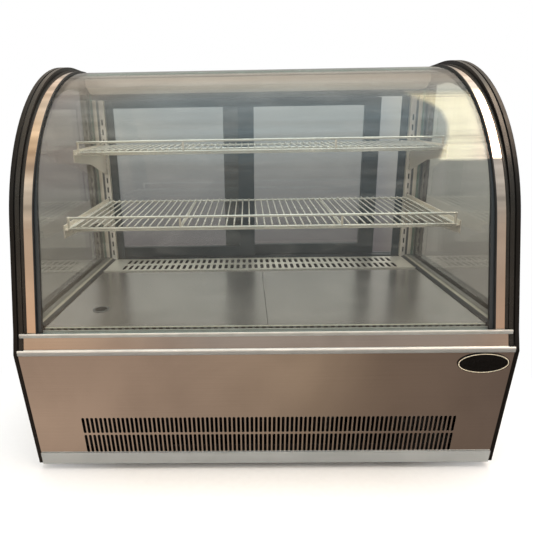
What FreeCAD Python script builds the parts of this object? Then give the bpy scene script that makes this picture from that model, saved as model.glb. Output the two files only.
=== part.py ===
import FreeCAD, Part
import math
import os
from types import SimpleNamespace

import Sketcher
from FreeCAD import Placement, Rotation, Vector

# Countertop refrigerated display case with a curved front glass.
# Frame: +X right, +Y to the rear (service side), +Z up; origin on the counter, centred under the case.
# All sizes in millimetres.

DRIVING_SIZES = {
    # overall
    "width": 900, "depth": 580, "overall_height": 800, "foot_height": 15,
    # side profile of the end caps
    "base_front": 252, "knee_front": 286, "knee_level": 268, "sill_front": 275, "sill_level": 305,
    "lean": 13, "crown_radius": 390, "cap_thickness": 18, "cap_groove": 2.2,
    # how far the glass sits inside the cap profile
    "glass_setback": 3, "glass_drop": 12, "glass_thickness": 6, "glass_foot_level": 302,
    "side_pane_inset": 9, "window_inset": 34,
    # display floor, shelves, rear opening
    "deck_level": 309, "deck_half": 399, "deck_front": 255, "deck_rear": 108, "seam_offset": 8,
    "sheet": 1.5, "post_face": 229.5, "post_depth": 12, "post_in": 396, "post_out": 429,
    "slot_pitch": 25, "shelf_half": 394, "shelf_rear": 199, "shelf_wire": 1.6, "shelf_rod": 3,
    "wire_pitch": 15.6, "shelf_guard": 22, "shelf_fall": 0.045, "lower_shelf_level": 485,
    "lower_shelf_front": 112, "upper_shelf_level": 632, "upper_shelf_front": 10,
    # sliding doors
    "door_width": 420, "door_stile": 42, "door_depth": 14, "door_low": 312, "door_high": 733,
    "inner_door_y": 256, "outer_door_y": 275, "left_door_start": -428, "right_door_start": -90,
    # front grille
    "grille_pitch": 8.5, "grille_slot": 5.5, "grille_start": -346, "grille_count": 84,
    # machinery
    "tank_wall": 20, "tank_floor_level": 185, "fan_radius": 68, "evaporator_fan_radius": 36,
}

DOC = FreeCAD.newDocument("DisplayCase")
NODES = []
CENTRE = 3  # number of an arc's centre point in a sketch constraint
HALF_TURN_SLACK = 1e-6  # an arc of exactly half a turn runs counter-clockwise


class Dim:
    """A length that carries its number and the spreadsheet formula that gives it."""

    def __init__(self, value, text):
        self.value = float(value)
        self.text = text

    def __add__(self, other):
        other = dim(other)
        return Dim(self.value + other.value, f"({self.text} + {other.text})")

    def __sub__(self, other):
        other = dim(other)
        return Dim(self.value - other.value, f"({self.text} - {other.text})")

    def __mul__(self, other):
        other = dim(other)
        return Dim(self.value * other.value, f"({self.text} * {other.text})")

    def __truediv__(self, other):
        other = dim(other)
        return Dim(self.value / other.value, f"({self.text} / {other.text})")

    def __neg__(self):
        return Dim(-self.value, f"(0 - {self.text})")

    def __radd__(self, other):
        return dim(other) + self

    def __rsub__(self, other):
        return dim(other) - self

    def __rmul__(self, other):
        return dim(other) * self


def dim(number):
    if isinstance(number, Dim):
        return number
    return Dim(number, f"({number})")


def wave(function, angle):
    """The sine, cosine or tangent of an angle in degrees, as a Dim."""
    number = getattr(math, function)(math.radians(angle.value))
    return Dim(number, f"{function}({angle.text} * 1 deg)")


def make_sheet():
    sheet = DOC.addObject("Spreadsheet::Sheet", "Sizes")
    for row, (alias, value) in enumerate(DRIVING_SIZES.items(), start=1):
        sheet.set(f"A{row}", alias)
        sheet.set(f"B{row}", str(value))
        sheet.setAlias(f"B{row}", alias)
    DOC.recompute()
    return SimpleNamespace(**{name: Dim(sheet.get(name), f"Sizes.{name}") for name in DRIVING_SIZES})


S = make_sheet()

# ---------------------------------------------------------------- derived places

HALF = S.width / 2
REAR = S.depth / 2
CAP_IN = HALF - S.cap_thickness
CLEAR_IN = CAP_IN - 0.5
TOP = S.overall_height
SIN_LEAN = wave("sin", S.lean)
COS_LEAN = wave("cos", S.lean)
TAN_LEAN = wave("tan", S.lean)
ARC_START_Z = TOP - S.crown_radius + S.crown_radius * SIN_LEAN
ARC_START_Y = (ARC_START_Z - S.sill_level) * TAN_LEAN - S.sill_front
CROWN_Y = ARC_START_Y + S.crown_radius * COS_LEAN
CROWN_Z = TOP - S.crown_radius
GLASS_Y = CROWN_Y + S.glass_setback
GLASS_Z = CROWN_Z - S.glass_drop
GLASS_TOP = TOP - S.glass_drop
DECK = S.deck_level
UNDER_DECK = DECK - S.sheet
POST_TOP = S.door_high + 1


# ---------------------------------------------------------------- building helpers

def node(obj, name):
    """Register an object as a finished sub-part under its file name."""
    obj.Label = name
    NODES.append((name, obj))
    return obj


def bind(obj, **values):
    for prop, value in values.items():
        obj.setExpression(prop, dim(value).text)


def move(obj, x=0, y=0, z=0):
    for axis, value in zip("xyz", (x, y, z)):
        obj.setExpression(f"Placement.Base.{axis}", dim(value).text)
    return obj


def block(name, x, y, z):
    """A box given by its low and high limits on each axis."""
    box = DOC.addObject("Part::Box", name)
    bind(box, Length=x[1] - x[0], Width=y[1] - y[0], Height=z[1] - z[0])
    return move(box, x[0], y[0], z[0])


def rod(name, axis, start, radius, length):
    """A round bar from a start point along +X, +Y or +Z."""
    bar = DOC.addObject("Part::Cylinder", name)
    turn = {"x": Rotation(Vector(0, 1, 0), 90), "y": Rotation(Vector(1, 0, 0), -90), "z": Rotation()}[axis]
    bar.Placement = Placement(Vector(), turn)
    bind(bar, Radius=radius, Height=length)
    return move(bar, *start)


def fuse(name, parts):
    joined = DOC.addObject("Part::MultiFuse", name)
    joined.Shapes = parts
    return joined


def cut(name, base, tools):
    tool = tools[0] if len(tools) == 1 else fuse(name + "_cutter", tools)
    result = DOC.addObject("Part::Cut", name)
    result.Base = base
    result.Tool = tool
    return result


def solid_feature(name, shape, place=(0, 0, 0)):
    feature = DOC.addObject("Part::Feature", name)
    feature.Shape = shape
    feature.Placement = Placement(Vector(*[dim(value).value for value in place]), Rotation())
    return node(feature, name)


def add_constraint(sketch, kind, geometry, end, value):
    index = sketch.addConstraint(Sketcher.Constraint(kind, geometry, end, dim(value).value))
    sketch.setExpression(f"Constraints[{index}]", dim(value).text)


def add_point_constraints(sketch, geometry, end, point):
    for kind, value in zip(("DistanceX", "DistanceY"), point):
        add_constraint(sketch, kind, geometry, end, value)


def draw_loop(sketch, points, arcs=None):
    """Close a loop through the points; arcs maps a segment's number to its centre and radius."""
    arcs = arcs or {}
    segments = []
    for number, point in enumerate(points):
        following = points[(number + 1) % len(points)]
        start = Vector(dim(point[0]).value, dim(point[1]).value, 0)
        finish = Vector(dim(following[0]).value, dim(following[1]).value, 0)
        if number not in arcs:
            segments.append((sketch.addGeometry(Part.LineSegment(start, finish)), 1, 2))
            continue
        centre_y, centre_z, radius = arcs[number]
        centre = Vector(centre_y.value, centre_z.value, 0)
        counter_clockwise = (start - centre).cross(finish - centre).z > -HALF_TURN_SLACK
        ends = (start, finish) if counter_clockwise else (finish, start)
        angles = [math.atan2(p.y - centre.y, p.x - centre.x) for p in ends]
        circle = Part.Circle(centre, Vector(0, 0, 1), radius.value)
        geometry = sketch.addGeometry(Part.ArcOfCircle(circle, *angles))
        chord = finish - start
        if abs(chord.x) > abs(chord.y):
            add_constraint(sketch, "DistanceY", geometry, CENTRE, centre_z)
        else:
            add_constraint(sketch, "DistanceX", geometry, CENTRE, centre_y)
        segments.append((geometry, 1, 2) if counter_clockwise else (geometry, 2, 1))
    for number, point in enumerate(points):
        geometry, first, _ = segments[number]
        before, _, last = segments[number - 1]
        sketch.addConstraint(Sketcher.Constraint("Coincident", before, last, geometry, first))
        add_point_constraints(sketch, geometry, first, point)


def draw_circle(sketch, centre, radius):
    circle = Part.Circle(Vector(dim(centre[0]).value, dim(centre[1]).value, 0), Vector(0, 0, 1),
                         dim(radius).value)
    geometry = sketch.addGeometry(circle)
    add_point_constraints(sketch, geometry, 3, centre)
    index = sketch.addConstraint(Sketcher.Constraint("Radius", geometry, dim(radius).value))
    sketch.setExpression(f"Constraints[{index}]", dim(radius).text)


def new_sketch(body, plane, loops, name, offset=None):
    """Loops are (points, arcs) pairs, or (centre, radius, 'circle') triples."""
    sketch = body.newObject("Sketcher::SketchObject", name)
    origin_plane = [p for p in body.Origin.OriginFeatures if p.Role == plane][0]
    sketch.AttachmentSupport = (origin_plane, [""])
    sketch.MapMode = "FlatFace"
    if offset is not None:
        sketch.setExpression("AttachmentOffset.Base.z", dim(offset).text)
    for loop in loops:
        if loop[-1] == "circle":
            draw_circle(sketch, loop[0], loop[1])
        else:
            draw_loop(sketch, *loop)
    return sketch


def pad(body, plane, loops, length, name, offset=None):
    """Extrude loops along +X (YZ plane), +Y (XZ plane) or +Z (XY plane)."""
    if offset is not None and plane == "XZ_Plane":
        offset = -dim(offset)
    feature = body.newObject("PartDesign::Pad", name)
    feature.Profile = new_sketch(body, plane, loops, name + "_outline", offset)
    feature.Reversed = plane == "XZ_Plane"
    bind(feature, Length=length)
    body.Tip = feature
    return feature


def pocket_through(body, plane, loops, name):
    feature = body.newObject("PartDesign::Pocket", name)
    feature.Profile = new_sketch(body, plane, loops, name + "_outline")
    feature.Type = "ThroughAll"
    feature.Midplane = True
    body.Tip = feature
    return feature


def repeat(body, feature, direction, spacing, count, name):
    """Repeat a feature along its sketch's H_Axis or V_Axis."""
    pattern = body.newObject("PartDesign::LinearPattern", name)
    pattern.Originals = [feature]
    pattern.Direction = (feature.Profile[0], [direction])
    bind(pattern, Length=spacing * (count - 1), Occurrences=count)
    body.Tip = pattern
    return pattern


def new_body(name, x=0, y=0, z=0):
    body = DOC.addObject("PartDesign::Body", name)
    return move(body, x, y, z)


def rectangle(low, high):
    return ([(low[0], low[1]), (high[0], low[1]), (high[0], high[1]), (low[0], high[1])], {})


def upright_slot(centre_x, low, high, width):
    """A vertical slot with round ends, as a loop of two lines and two arcs."""
    radius = dim(width) / 2
    left, right = centre_x - radius, centre_x + radius
    bottom, top = low + radius, high - radius
    points = [(left, bottom), (right, bottom), (right, top), (left, top)]
    return (points, {0: (dim(centre_x), dim(bottom), radius), 2: (dim(centre_x), dim(top), radius)})


def flat_slot(low_x, high_x, centre_z, width):
    """A horizontal slot with round ends."""
    radius = dim(width) / 2
    left, right = low_x + radius, high_x - radius
    bottom, top = centre_z - radius, centre_z + radius
    points = [(left, bottom), (right, bottom), (right, top), (left, top)]
    return (points, {1: (dim(right), dim(centre_z), radius), 3: (dim(left), dim(centre_z), radius)})


SIDES = (("left", -1), ("right", 1))


def side_start(sign, inner, outer):
    """The low X of a piece that lies between inner and outer on the given side."""
    return inner if sign > 0 else -outer


# ---------------------------------------------------------------- side profiles

def cap_outline(shrink=0):
    """Outline of the end cap: sloped base, knee, sill, leaning front, round crown and flat top."""
    radius = S.crown_radius - shrink
    points = [
        (shrink - S.base_front, S.foot_height),
        (shrink - S.knee_front, S.knee_level),
        (shrink - S.sill_front, S.sill_level),
        (CROWN_Y - radius * COS_LEAN, CROWN_Z + radius * SIN_LEAN),
        (CROWN_Y, CROWN_Z + radius),
        (REAR - shrink, CROWN_Z + radius),
        (REAR - shrink, S.foot_height),
    ]
    return (points, {3: (CROWN_Y, CROWN_Z, radius)})


def front_line_y(level, outward=0):
    """Y of the sloped lower front at a level, moved outward."""
    slope = (S.knee_front - S.base_front) / (S.knee_level - S.foot_height)
    return -(S.base_front + (level - S.foot_height) * slope + outward)


def glass_point(offset, level):
    """Y of the glass's straight part at a level, offset inward from its outer face."""
    outer = GLASS_Y - S.crown_radius * COS_LEAN
    outer_level = GLASS_Z + S.crown_radius * SIN_LEAN
    return outer + offset / COS_LEAN - (outer_level - level) * TAN_LEAN


def curved_strip(near, far):
    """Closed section between two offsets inward from the glass's outer face."""
    foot_y = glass_point(dim(0), S.glass_foot_level)
    points = []
    for offset in (near, far):
        offset = dim(offset)
        radius = S.crown_radius - offset
        leg = (foot_y + offset * COS_LEAN, S.glass_foot_level - offset * SIN_LEAN)
        bend = (GLASS_Y - radius * COS_LEAN, GLASS_Z + radius * SIN_LEAN)
        points.append((leg, bend, (GLASS_Y, GLASS_Z + radius), radius))
    (leg_a, bend_a, end_a, radius_a), (leg_b, bend_b, end_b, radius_b) = points
    loop = [leg_a, bend_a, end_a, end_b, bend_b, leg_b]
    return (loop, {1: (GLASS_Y, GLASS_Z, radius_a), 3: (GLASS_Y, GLASS_Z, radius_b)})


def pane_outline(inset, low, rear):
    """Convex outline that follows the glass at an inset, closed by a flat foot and a rear edge."""
    inset = dim(inset)
    radius = S.crown_radius - inset
    points = [
        (glass_point(inset, low), low),
        (GLASS_Y - radius * COS_LEAN, GLASS_Z + radius * SIN_LEAN),
        (GLASS_Y, GLASS_Z + radius),
        (rear, GLASS_Z + radius),
        (rear, low),
    ]
    return (points, {1: (GLASS_Y, GLASS_Z, radius)})


# ---------------------------------------------------------------- case and trims

def make_end_caps():
    """Black moulded end caps: window above, open field below, a groove round the rim."""
    window = pane_outline(S.window_inset, dim(322), dim(212))
    field = ([(-216, 50), (-243, 252), (250, 252), (250, 50)], {})
    for name, sign in SIDES:
        body = new_body(f"end_cap_{name}", x=side_start(sign, CAP_IN, HALF))
        pad(body, "YZ_Plane", [cap_outline(S.cap_groove), window, field], S.cap_thickness, "core")
        rim = S.cap_thickness / 2 - 1.5
        for place, start in (("first", dim(0.001)), ("second", S.cap_thickness - rim)):
            pad(body, "YZ_Plane", [cap_outline(), window, field], rim, f"{place}_rib", start)
        node(body, f"end_cap_{name}")


def make_side_panels():
    """Painted lower side sheets with two columns of louvre slots, behind the caps' open fields."""
    outline = ([(-228, 40), (-254, 262), (262, 262), (262, 40)], {})
    for name, sign in SIDES:
        body = new_body(f"side_panel_{name}", x=side_start(sign, CAP_IN - 1.8, CAP_IN - 0.3))
        pad(body, "YZ_Plane", [outline], S.sheet, "sheet")
        louvres = pocket_through(body, "YZ_Plane", [flat_slot(dim(low), dim(low + 100), dim(80), 6)
                                                    for low in (-120, 50)], "louvre")
        repeat(body, louvres, "V_Axis", dim(14), dim(8), "louvres")
        node(body, f"side_panel_{name}")


def make_side_glass():
    for name, sign in SIDES:
        body = new_body(f"side_glass_{name}", x=side_start(sign, CAP_IN - 7, CAP_IN - 1))
        outline = pane_outline(S.side_pane_inset, dim(304.4), S.post_face - 1)
        pad(body, "YZ_Plane", [outline], S.glass_thickness, "pane")
        node(body, f"side_glass_{name}")


def make_front_glass():
    body = new_body("front_glass", x=-CLEAR_IN)
    pad(body, "YZ_Plane", [curved_strip(0, S.glass_thickness)], CLEAR_IN * 2, "bent_pane")
    node(body, "front_glass")


def make_glass_edges():
    """Rubber edge seal and the polished strip that lies in it, along both ends of the front glass."""
    strip_in, strip_out, bead = dim(410), dim(426), dim(2)
    for name, sign in SIDES:
        low = side_start(sign, strip_in - bead, CLEAR_IN)
        body = new_body(f"glass_seal_{name}", x=low)
        pad(body, "YZ_Plane", [curved_strip(-2, -0.01)], CLEAR_IN - strip_in + bead, "bed")
        bead_at = 0 if sign > 0 else CLEAR_IN - strip_in
        wide_at = strip_out - strip_in + bead if sign > 0 else 0
        pad(body, "YZ_Plane", [curved_strip(-4, -1)], bead, "inner_bead", dim(bead_at) + 0.001)
        pad(body, "YZ_Plane", [curved_strip(-4.4, -1)], CLEAR_IN - strip_out, "outer_lip",
            dim(wide_at) + 0.001)
        node(body, f"glass_seal_{name}")
        strip = new_body(f"mirror_strip_{name}", x=side_start(sign, strip_in + 0.1, strip_out - 0.1))
        pad(strip, "YZ_Plane", [curved_strip(-3.6, -2.05)], strip_out - strip_in - 0.2, "strip")
        node(strip, f"mirror_strip_{name}")


def make_sill_channel():
    """Aluminium channel that holds the foot of the front glass; its lip laps the end caps."""
    lip_half, low, bed = dim(437), dim(298.5), 300.4
    body = new_body("sill_channel", x=-lip_half)
    lip = rectangle((-281, low), (-278, dim(305.3)))
    pad(body, "YZ_Plane", [lip], lip_half * 2, "front_lip")
    floor_loop = ([(-279, low), (-259, low), (-259, 304), (-260.5, 304), (-260.5, bed), (-279, bed)], {})
    pad(body, "YZ_Plane", [floor_loop], CLEAR_IN * 2, "glass_bed", lip_half - CLEAR_IN)
    node(body, "sill_channel")


def make_front_band():
    """Polished band between the two trims, leaning back from knee to sill."""
    body = new_body("front_band", x=-CLEAR_IN)
    top = 298.2
    loop = ([(-283.5, 265), (-283.5, 272), (-276.3, top), (-274.8, top), (-282, 272), (-282, 265)], {})
    pad(body, "YZ_Plane", [loop], CLEAR_IN * 2, "bent_sheet")
    node(body, "front_band")


def make_knee_trim():
    """Bright extruded trim across the widest point of the front."""
    half, front, low, high = dim(441), -REAR, 267, 277
    body = new_body("knee_trim", x=-half)
    face = ([(front + 0.8, low), (front + 2.4, low), (front + 2.4, high), (front + 0.8, high),
             (front, high - 0.8), (front, low + 0.8)], {})
    pad(body, "YZ_Plane", [face], half * 2, "face")
    lip = rectangle((front + 2, dim(high - 2)), (dim(-283.8), dim(high - 0.5)))
    pad(body, "YZ_Plane", [lip], CLEAR_IN * 2, "return_lip", half - CLEAR_IN)
    node(body, "knee_trim")


def make_front_panel():
    """Sloped polished panel with two rows of upright vent slots."""
    half, low, high = dim(441), dim(30), dim(267.4)
    body = new_body("front_panel", x=-half)
    loop = ([(front_line_y(low, 0.4), low), (front_line_y(low, 1.6), low),
             (front_line_y(high, 1.6), high), (front_line_y(high, 0.4), high)], {})
    pad(body, "YZ_Plane", [loop], half * 2, "sheet")
    first = half + S.grille_start
    rows = [upright_slot(first, dim(a), dim(b), S.grille_slot) for a, b in ((43.8, 86.6), (90.6, 127.4))]
    slots = pocket_through(body, "XZ_Plane", rows, "vent_slots")
    repeat(body, slots, "H_Axis", S.grille_pitch, S.grille_count, "vent_grille")
    node(body, "front_panel")


def make_bottom_rail():
    half, low, high = dim(441), S.foot_height, dim(42)
    body = new_body("bottom_rail", x=-half)
    face = ([(front_line_y(low, 1.9), low), (front_line_y(low, 4), low), (front_line_y(high, 4), high),
             (front_line_y(high, 1.9), high)], {})
    pad(body, "YZ_Plane", [face], half * 2, "face")
    flange = rectangle((front_line_y(low, 3), low), (dim(-246), low + 1.8))
    pad(body, "YZ_Plane", [flange], CLEAR_IN * 2, "flange", half - CLEAR_IN)
    node(body, "bottom_rail")


def make_nameplate():
    """Blank oval plate that follows the slope of the lower panel."""
    centre_x, centre_z, half_width, half_height = dim(390), dim(244.5), dim(46), dim(21)
    outline = DOC.addObject("Part::Ellipse", "nameplate_outline")
    bind(outline, MajorRadius=half_width, MinorRadius=half_height)
    outline.Placement = FreeCAD.Placement(Vector(), FreeCAD.Rotation(Vector(1, 0, 0), 90))
    move(outline, centre_x, dim(-296), centre_z)
    blank = DOC.addObject("Part::Extrusion", "nameplate_blank")
    blank.Base = outline
    blank.DirMode = "Custom"
    blank.Dir = Vector(0, 1, 0)
    blank.LengthFwd = 20
    blank.Solid = True
    low, high = centre_z - half_height - 2, centre_z + half_height + 2
    slab = new_body("nameplate_slab", x=centre_x - half_width - 2)
    slope = ([(front_line_y(low, 3.4), low), (front_line_y(high, 3.4), high),
              (front_line_y(high, 1.7), high), (front_line_y(low, 1.7), low)], {})
    pad(slab, "YZ_Plane", [slope], half_width * 2 + 4, "slab")
    plate = DOC.addObject("Part::Common", "nameplate_common")
    plate.Base = blank
    plate.Tool = slab
    node(plate, "nameplate")


def make_base():
    low = S.foot_height
    wall = S.sheet
    x, y = (-(CAP_IN - 3), CAP_IN - 3), (dim(-244), REAR - 6)
    tray = block("tray_block", x, y, (low, low + 34))
    inside = block("tray_space", (x[0] + wall, x[1] - wall), (y[0] + wall, y[1] - wall), (low + 2, low + 38))
    node(cut("base_pan", tray, [inside]), "base_pan")
    feet = []
    for number, (fx, fy) in enumerate([(-380, -195), (380, -195), (-380, 235), (380, 235)]):
        foot = DOC.addObject("Part::Cone", f"foot_{number}")
        bind(foot, Radius1=20, Radius2=17, Height=low)
        feet.append(move(foot, fx, fy, 0))
    node(fuse("rubber_feet", feet), "rubber_feet")


# ---------------------------------------------------------------- roof, rear frame and light

def make_roof():
    """Polished roof sheet behind the glass, with a folded front edge under the glass."""
    body = new_body("roof_panel", x=-CLEAR_IN)
    top, front = GLASS_TOP, GLASS_Y + 0.6
    loop = ([(front, top - 8), (front, top), (REAR - 2, top), (REAR - 2, top - 14), (REAR - 3.5, top - 14),
             (REAR - 3.5, top - 1.5), (front + 1.5, top - 1.5), (front + 1.5, top - 8)], {})
    pad(body, "YZ_Plane", [loop], CLEAR_IN * 2, "bent_sheet")
    node(body, "roof_panel")


def groove_limits(middle):
    return (middle - 3, middle + 3)


def make_rear_header():
    """Header above the doors, with two downward grooves that guide their tops."""
    low, high = S.door_high + 3, GLASS_TOP - 2
    shell = block("header_block", (-CLEAR_IN, CLEAR_IN), (S.post_face + 14, REAR - 4), (low, high))
    hollow = block("header_hollow", (-(CLEAR_IN - 3), CLEAR_IN - 3), (S.post_face + 17, REAR - 7),
                   (low + 16, high - 3))
    grooves = [block(f"header_groove_{n}", (-(CLEAR_IN - 1), CLEAR_IN - 1), groove_limits(middle),
                     (low - 1, low + 12))
               for n, middle in enumerate((S.inner_door_y, S.outer_door_y))]
    node(cut("rear_header", shell, [hollow] + grooves), "rear_header")


def make_door_track():
    low, high = dim(295), S.door_low - 2
    rail = block("track_block", (-CLEAR_IN, CLEAR_IN), (S.post_face + 17, REAR - 4), (low, high))
    grooves = [block(f"track_groove_{n}", (-(CLEAR_IN - 1), CLEAR_IN - 1), groove_limits(middle),
                     (high - 9, high + 1))
               for n, middle in enumerate((S.inner_door_y, S.outer_door_y))]
    node(cut("door_track", rail, grooves), "door_track")


def make_posts():
    """Slotted steel posts in the rear corners and the dark jambs beside the door opening."""
    foot = DECK + 1.7
    for name, sign in SIDES:
        low = side_start(sign, S.post_in, S.post_out)
        body = new_body(f"corner_post_{name}", x=low, y=S.post_face)
        width, depth, wall = S.post_out - S.post_in, S.post_depth, S.sheet
        channel = ([(0.001, 0.001), (width, 0.001), (width, depth), (width - wall, depth),
                    (width - wall, wall), (wall, wall), (wall, depth), (0.001, depth)], {})
        pad(body, "XY_Plane", [channel], POST_TOP - foot, "channel", foot)
        slot_x = dim(8) if sign > 0 else width - 8
        slot = pocket_through(body, "XZ_Plane", [rectangle((slot_x - 2, 323), (slot_x + 2, 337))], "slot")
        repeat(body, slot, "V_Axis", S.slot_pitch, dim(15), "slots")
        node(body, f"corner_post_{name}")
        jamb_low = side_start(sign, dim(376), dim(414))
        jamb = block(f"door_jamb_{name}", (jamb_low, jamb_low + 38), (S.post_face + 12.5, S.post_face + 16),
                     (DECK + 1.7, POST_TOP))
        node(jamb, f"door_jamb_{name}")


def make_light():
    """Lamp housing under the roof and its rounded diffuser."""
    half, front, back = dim(418), dim(168), dim(236)
    high = GLASS_TOP - 9
    case = block("lamp_block", (-half, half), (front, back), (high - 20, high))
    space = block("lamp_space", (-(half - 2), half - 2), (front + 2, back - 2), (high - 25, high - 2))
    node(cut("light_housing", case, [space]), "light_housing")
    body = new_body("light_diffuser", x=-(half - 2.3))
    low = high - 20
    middle, radius = (front + back) / 2, dim(45)
    near, far = front + 2.3, back - 2.3
    loop = ([(near, low + 6), (near, low), (far, low), (far, low + 6)],
            {1: (middle, low + 31.8, radius)})
    pad(body, "YZ_Plane", [loop], (half - 2.3) * 2, "lens")
    node(body, "light_diffuser")


# ---------------------------------------------------------------- display floor

def make_deck():
    """Two polished floor plates with hemmed front edges; the left one has the drain hole."""
    edge, seam = S.deck_half, S.seam_offset
    for name, low, high in (("left", -edge, seam - 0.4), ("right", seam + 0.4, edge)):
        plate = block(f"deck_sheet_{name}", (low, high), (-S.deck_front, S.deck_rear), (UNDER_DECK, DECK))
        hem = block(f"deck_hem_{name}", (low, high), (-S.deck_front, 3 - S.deck_front), (DECK - 3, DECK))
        whole = fuse(f"deck_whole_{name}", [plate, hem])
        if name == "left":
            hole = rod("drain_hole", "z", (DRAIN_X, DRAIN_Y, DECK - 10), 14.3, 20)
            whole = cut("deck_drilled", whole, [hole])
        node(whole, f"deck_plate_{name}")


DRAIN_X = dim(-323)
DRAIN_Y = dim(-167)


def make_drain():
    """Flanged drain cup with a ring of holes."""
    flange = rod("drain_flange", "z", (DRAIN_X, DRAIN_Y, DECK + 0.1), 16, 1.2)
    neck = rod("drain_neck", "z", (DRAIN_X, DRAIN_Y, DECK - 22), 14, 22.5)
    space = rod("drain_space", "z", (DRAIN_X, DRAIN_Y, DECK - 20), 12, 30)
    knob = rod("drain_knob", "z", (DRAIN_X, DRAIN_Y, DECK - 21), 3, 15)
    cup = cut("drain_cup", fuse("drain_outer", [flange, neck]), [space])
    node(fuse("drain_strainer", [cup, knob]), "drain_strainer")


def make_air_grilles():
    """Flat return grille at the rear of the floor and the slotted riser in front of it."""
    edge, low, high = S.deck_half, DECK + 0.05, DECK + 1.6
    body = new_body("rear_air_grille", x=-edge, z=low)
    rear, front = S.post_face - 0.5, S.deck_rear + 0.5
    pad(body, "XY_Plane", [rectangle((0.001, front), (edge * 2, rear))], high - low, "plate")
    lip = rectangle((0.001, front), (edge * 2, front + 3))
    pad(body, "XY_Plane", [lip], dim(3.2), "front_lip")
    rows = [upright_slot(edge - 352, dim(a), dim(b), 8.5) for a, b in ((122, 164), (178, 218))]
    slots = pocket_through(body, "XY_Plane", rows, "slot_pair")
    repeat(body, slots, "H_Axis", dim(15.7), dim(46), "slots")
    node(body, "rear_air_grille")
    riser = new_body("front_air_strip", x=-edge, y=-(S.deck_front + 2.2))
    pad(riser, "XZ_Plane", [rectangle((0.001, dim(299)), (edge * 2, DECK - 0.3))], S.sheet, "riser")
    oval = pocket_through(riser, "XZ_Plane", [flat_slot(edge - 391, edge - 383, dim(304.8), 5)], "oval")
    repeat(riser, oval, "H_Axis", dim(12.5), dim(63), "ovals")
    node(riser, "front_air_strip")


def make_sill_seals():
    """Black gaskets that close the gap between the floor and the side panes."""
    for name, sign in SIDES:
        inner, outer = S.deck_half + 0.4, CAP_IN - 7.2
        if sign > 0:
            section = [(inner, 306.4), (outer, 306.4), (outer, 317), (outer - 9, 317), (inner, 310.5)]
        else:
            section = [(-inner, 306.4), (-inner, 310.5), (9 - outer, 317), (-outer, 317), (-outer, 306.4)]
        body = new_body(f"sill_seal_{name}", y=-S.deck_front)
        pad(body, "XZ_Plane", [(section, {})], S.deck_front + S.post_face - 1, "gasket")
        node(body, f"sill_seal_{name}")


# ---------------------------------------------------------------- shelves

def rail_level(guard_level, y, front_reach):
    """Centre height of a shelf rod at a depth: the shelf falls a little to the front."""
    return guard_level - S.shelf_guard + S.shelf_fall * (y - S.shelf_rod + front_reach)


def make_shelf(name, guard_level, front_reach):
    """Chrome wire shelf: straight wires on a rod frame, with a guard rail along the front."""
    half, rear, front, guard_top = S.shelf_half.value, S.shelf_rear.value, -front_reach.value, guard_level.value
    wire, bar, fall, guard = S.shelf_wire.value, S.shelf_rod.value, S.shelf_fall.value, S.shelf_guard.value
    pitch = S.wire_pitch.value
    cross_rod = bar - 0.4
    second_rod = bar * 0.66
    strut = bar * 0.8
    corner_ball = bar + 0.2
    weld = 0.6  # how far a wire sinks into the rod that it crosses
    side = half - bar
    count = int(2 * side / pitch)
    strut_x = pitch * 10.5  # in line with a wire
    front_y, rear_y = front + bar, rear - bar
    along_x, along_fall = Vector(1, 0, 0), Vector(0, 1, fall)
    slant = math.hypot(1, fall)

    def level(y):
        return rail_level(guard_level, dim(y), front_reach).value

    bars = [Part.makeCylinder(cross_rod, 2 * side, Vector(-side, y, level(y)), along_x)
            for y in (rear_y, front + 0.35 * (rear - front), front_y)]
    bars.append(Part.makeCylinder(cross_rod, 2 * side, Vector(-side, front_y, guard_top), along_x))
    second_at = Vector(8 - side, front_y + 1, level(front_y) - cross_rod - second_rod + weld)
    bars.append(Part.makeCylinder(second_rod, 2 * side - 16, second_at, along_x))
    for x in (-side, side):
        corner = Vector(x, front_y, level(front_y))
        bars.append(Part.makeCylinder(bar, slant * (rear_y - front_y), corner, along_fall))
        for place in (corner, Vector(x, front_y, guard_top), Vector(x, rear_y, level(rear_y))):
            bars.append(Part.makeSphere(corner_ball, place))
    for x in (-side, -strut_x, strut_x, side):
        bars.append(Part.makeCylinder(strut, guard, Vector(x, front_y, level(front_y))))
    for x in (-strut_x, strut_x):
        start = Vector(x, front_y + 6, level(front_y + 6) - bar * 0.9)
        bars.append(Part.makeCylinder(strut, slant * (rear_y - front_y - 6), start, along_fall))
    wires = []
    for number in range(count):
        x = (number - (count - 1) / 2) * pitch
        start = Vector(x, front_y - 1, level(front_y - 1) + cross_rod + wire - weld)
        wires.append(Part.makeCylinder(wire, slant * (rear_y - front_y + 3), start, along_fall))
    frame = bars[0].multiFuse(bars[1:])
    solid_feature(name, frame.multiFuse(wires))


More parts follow.
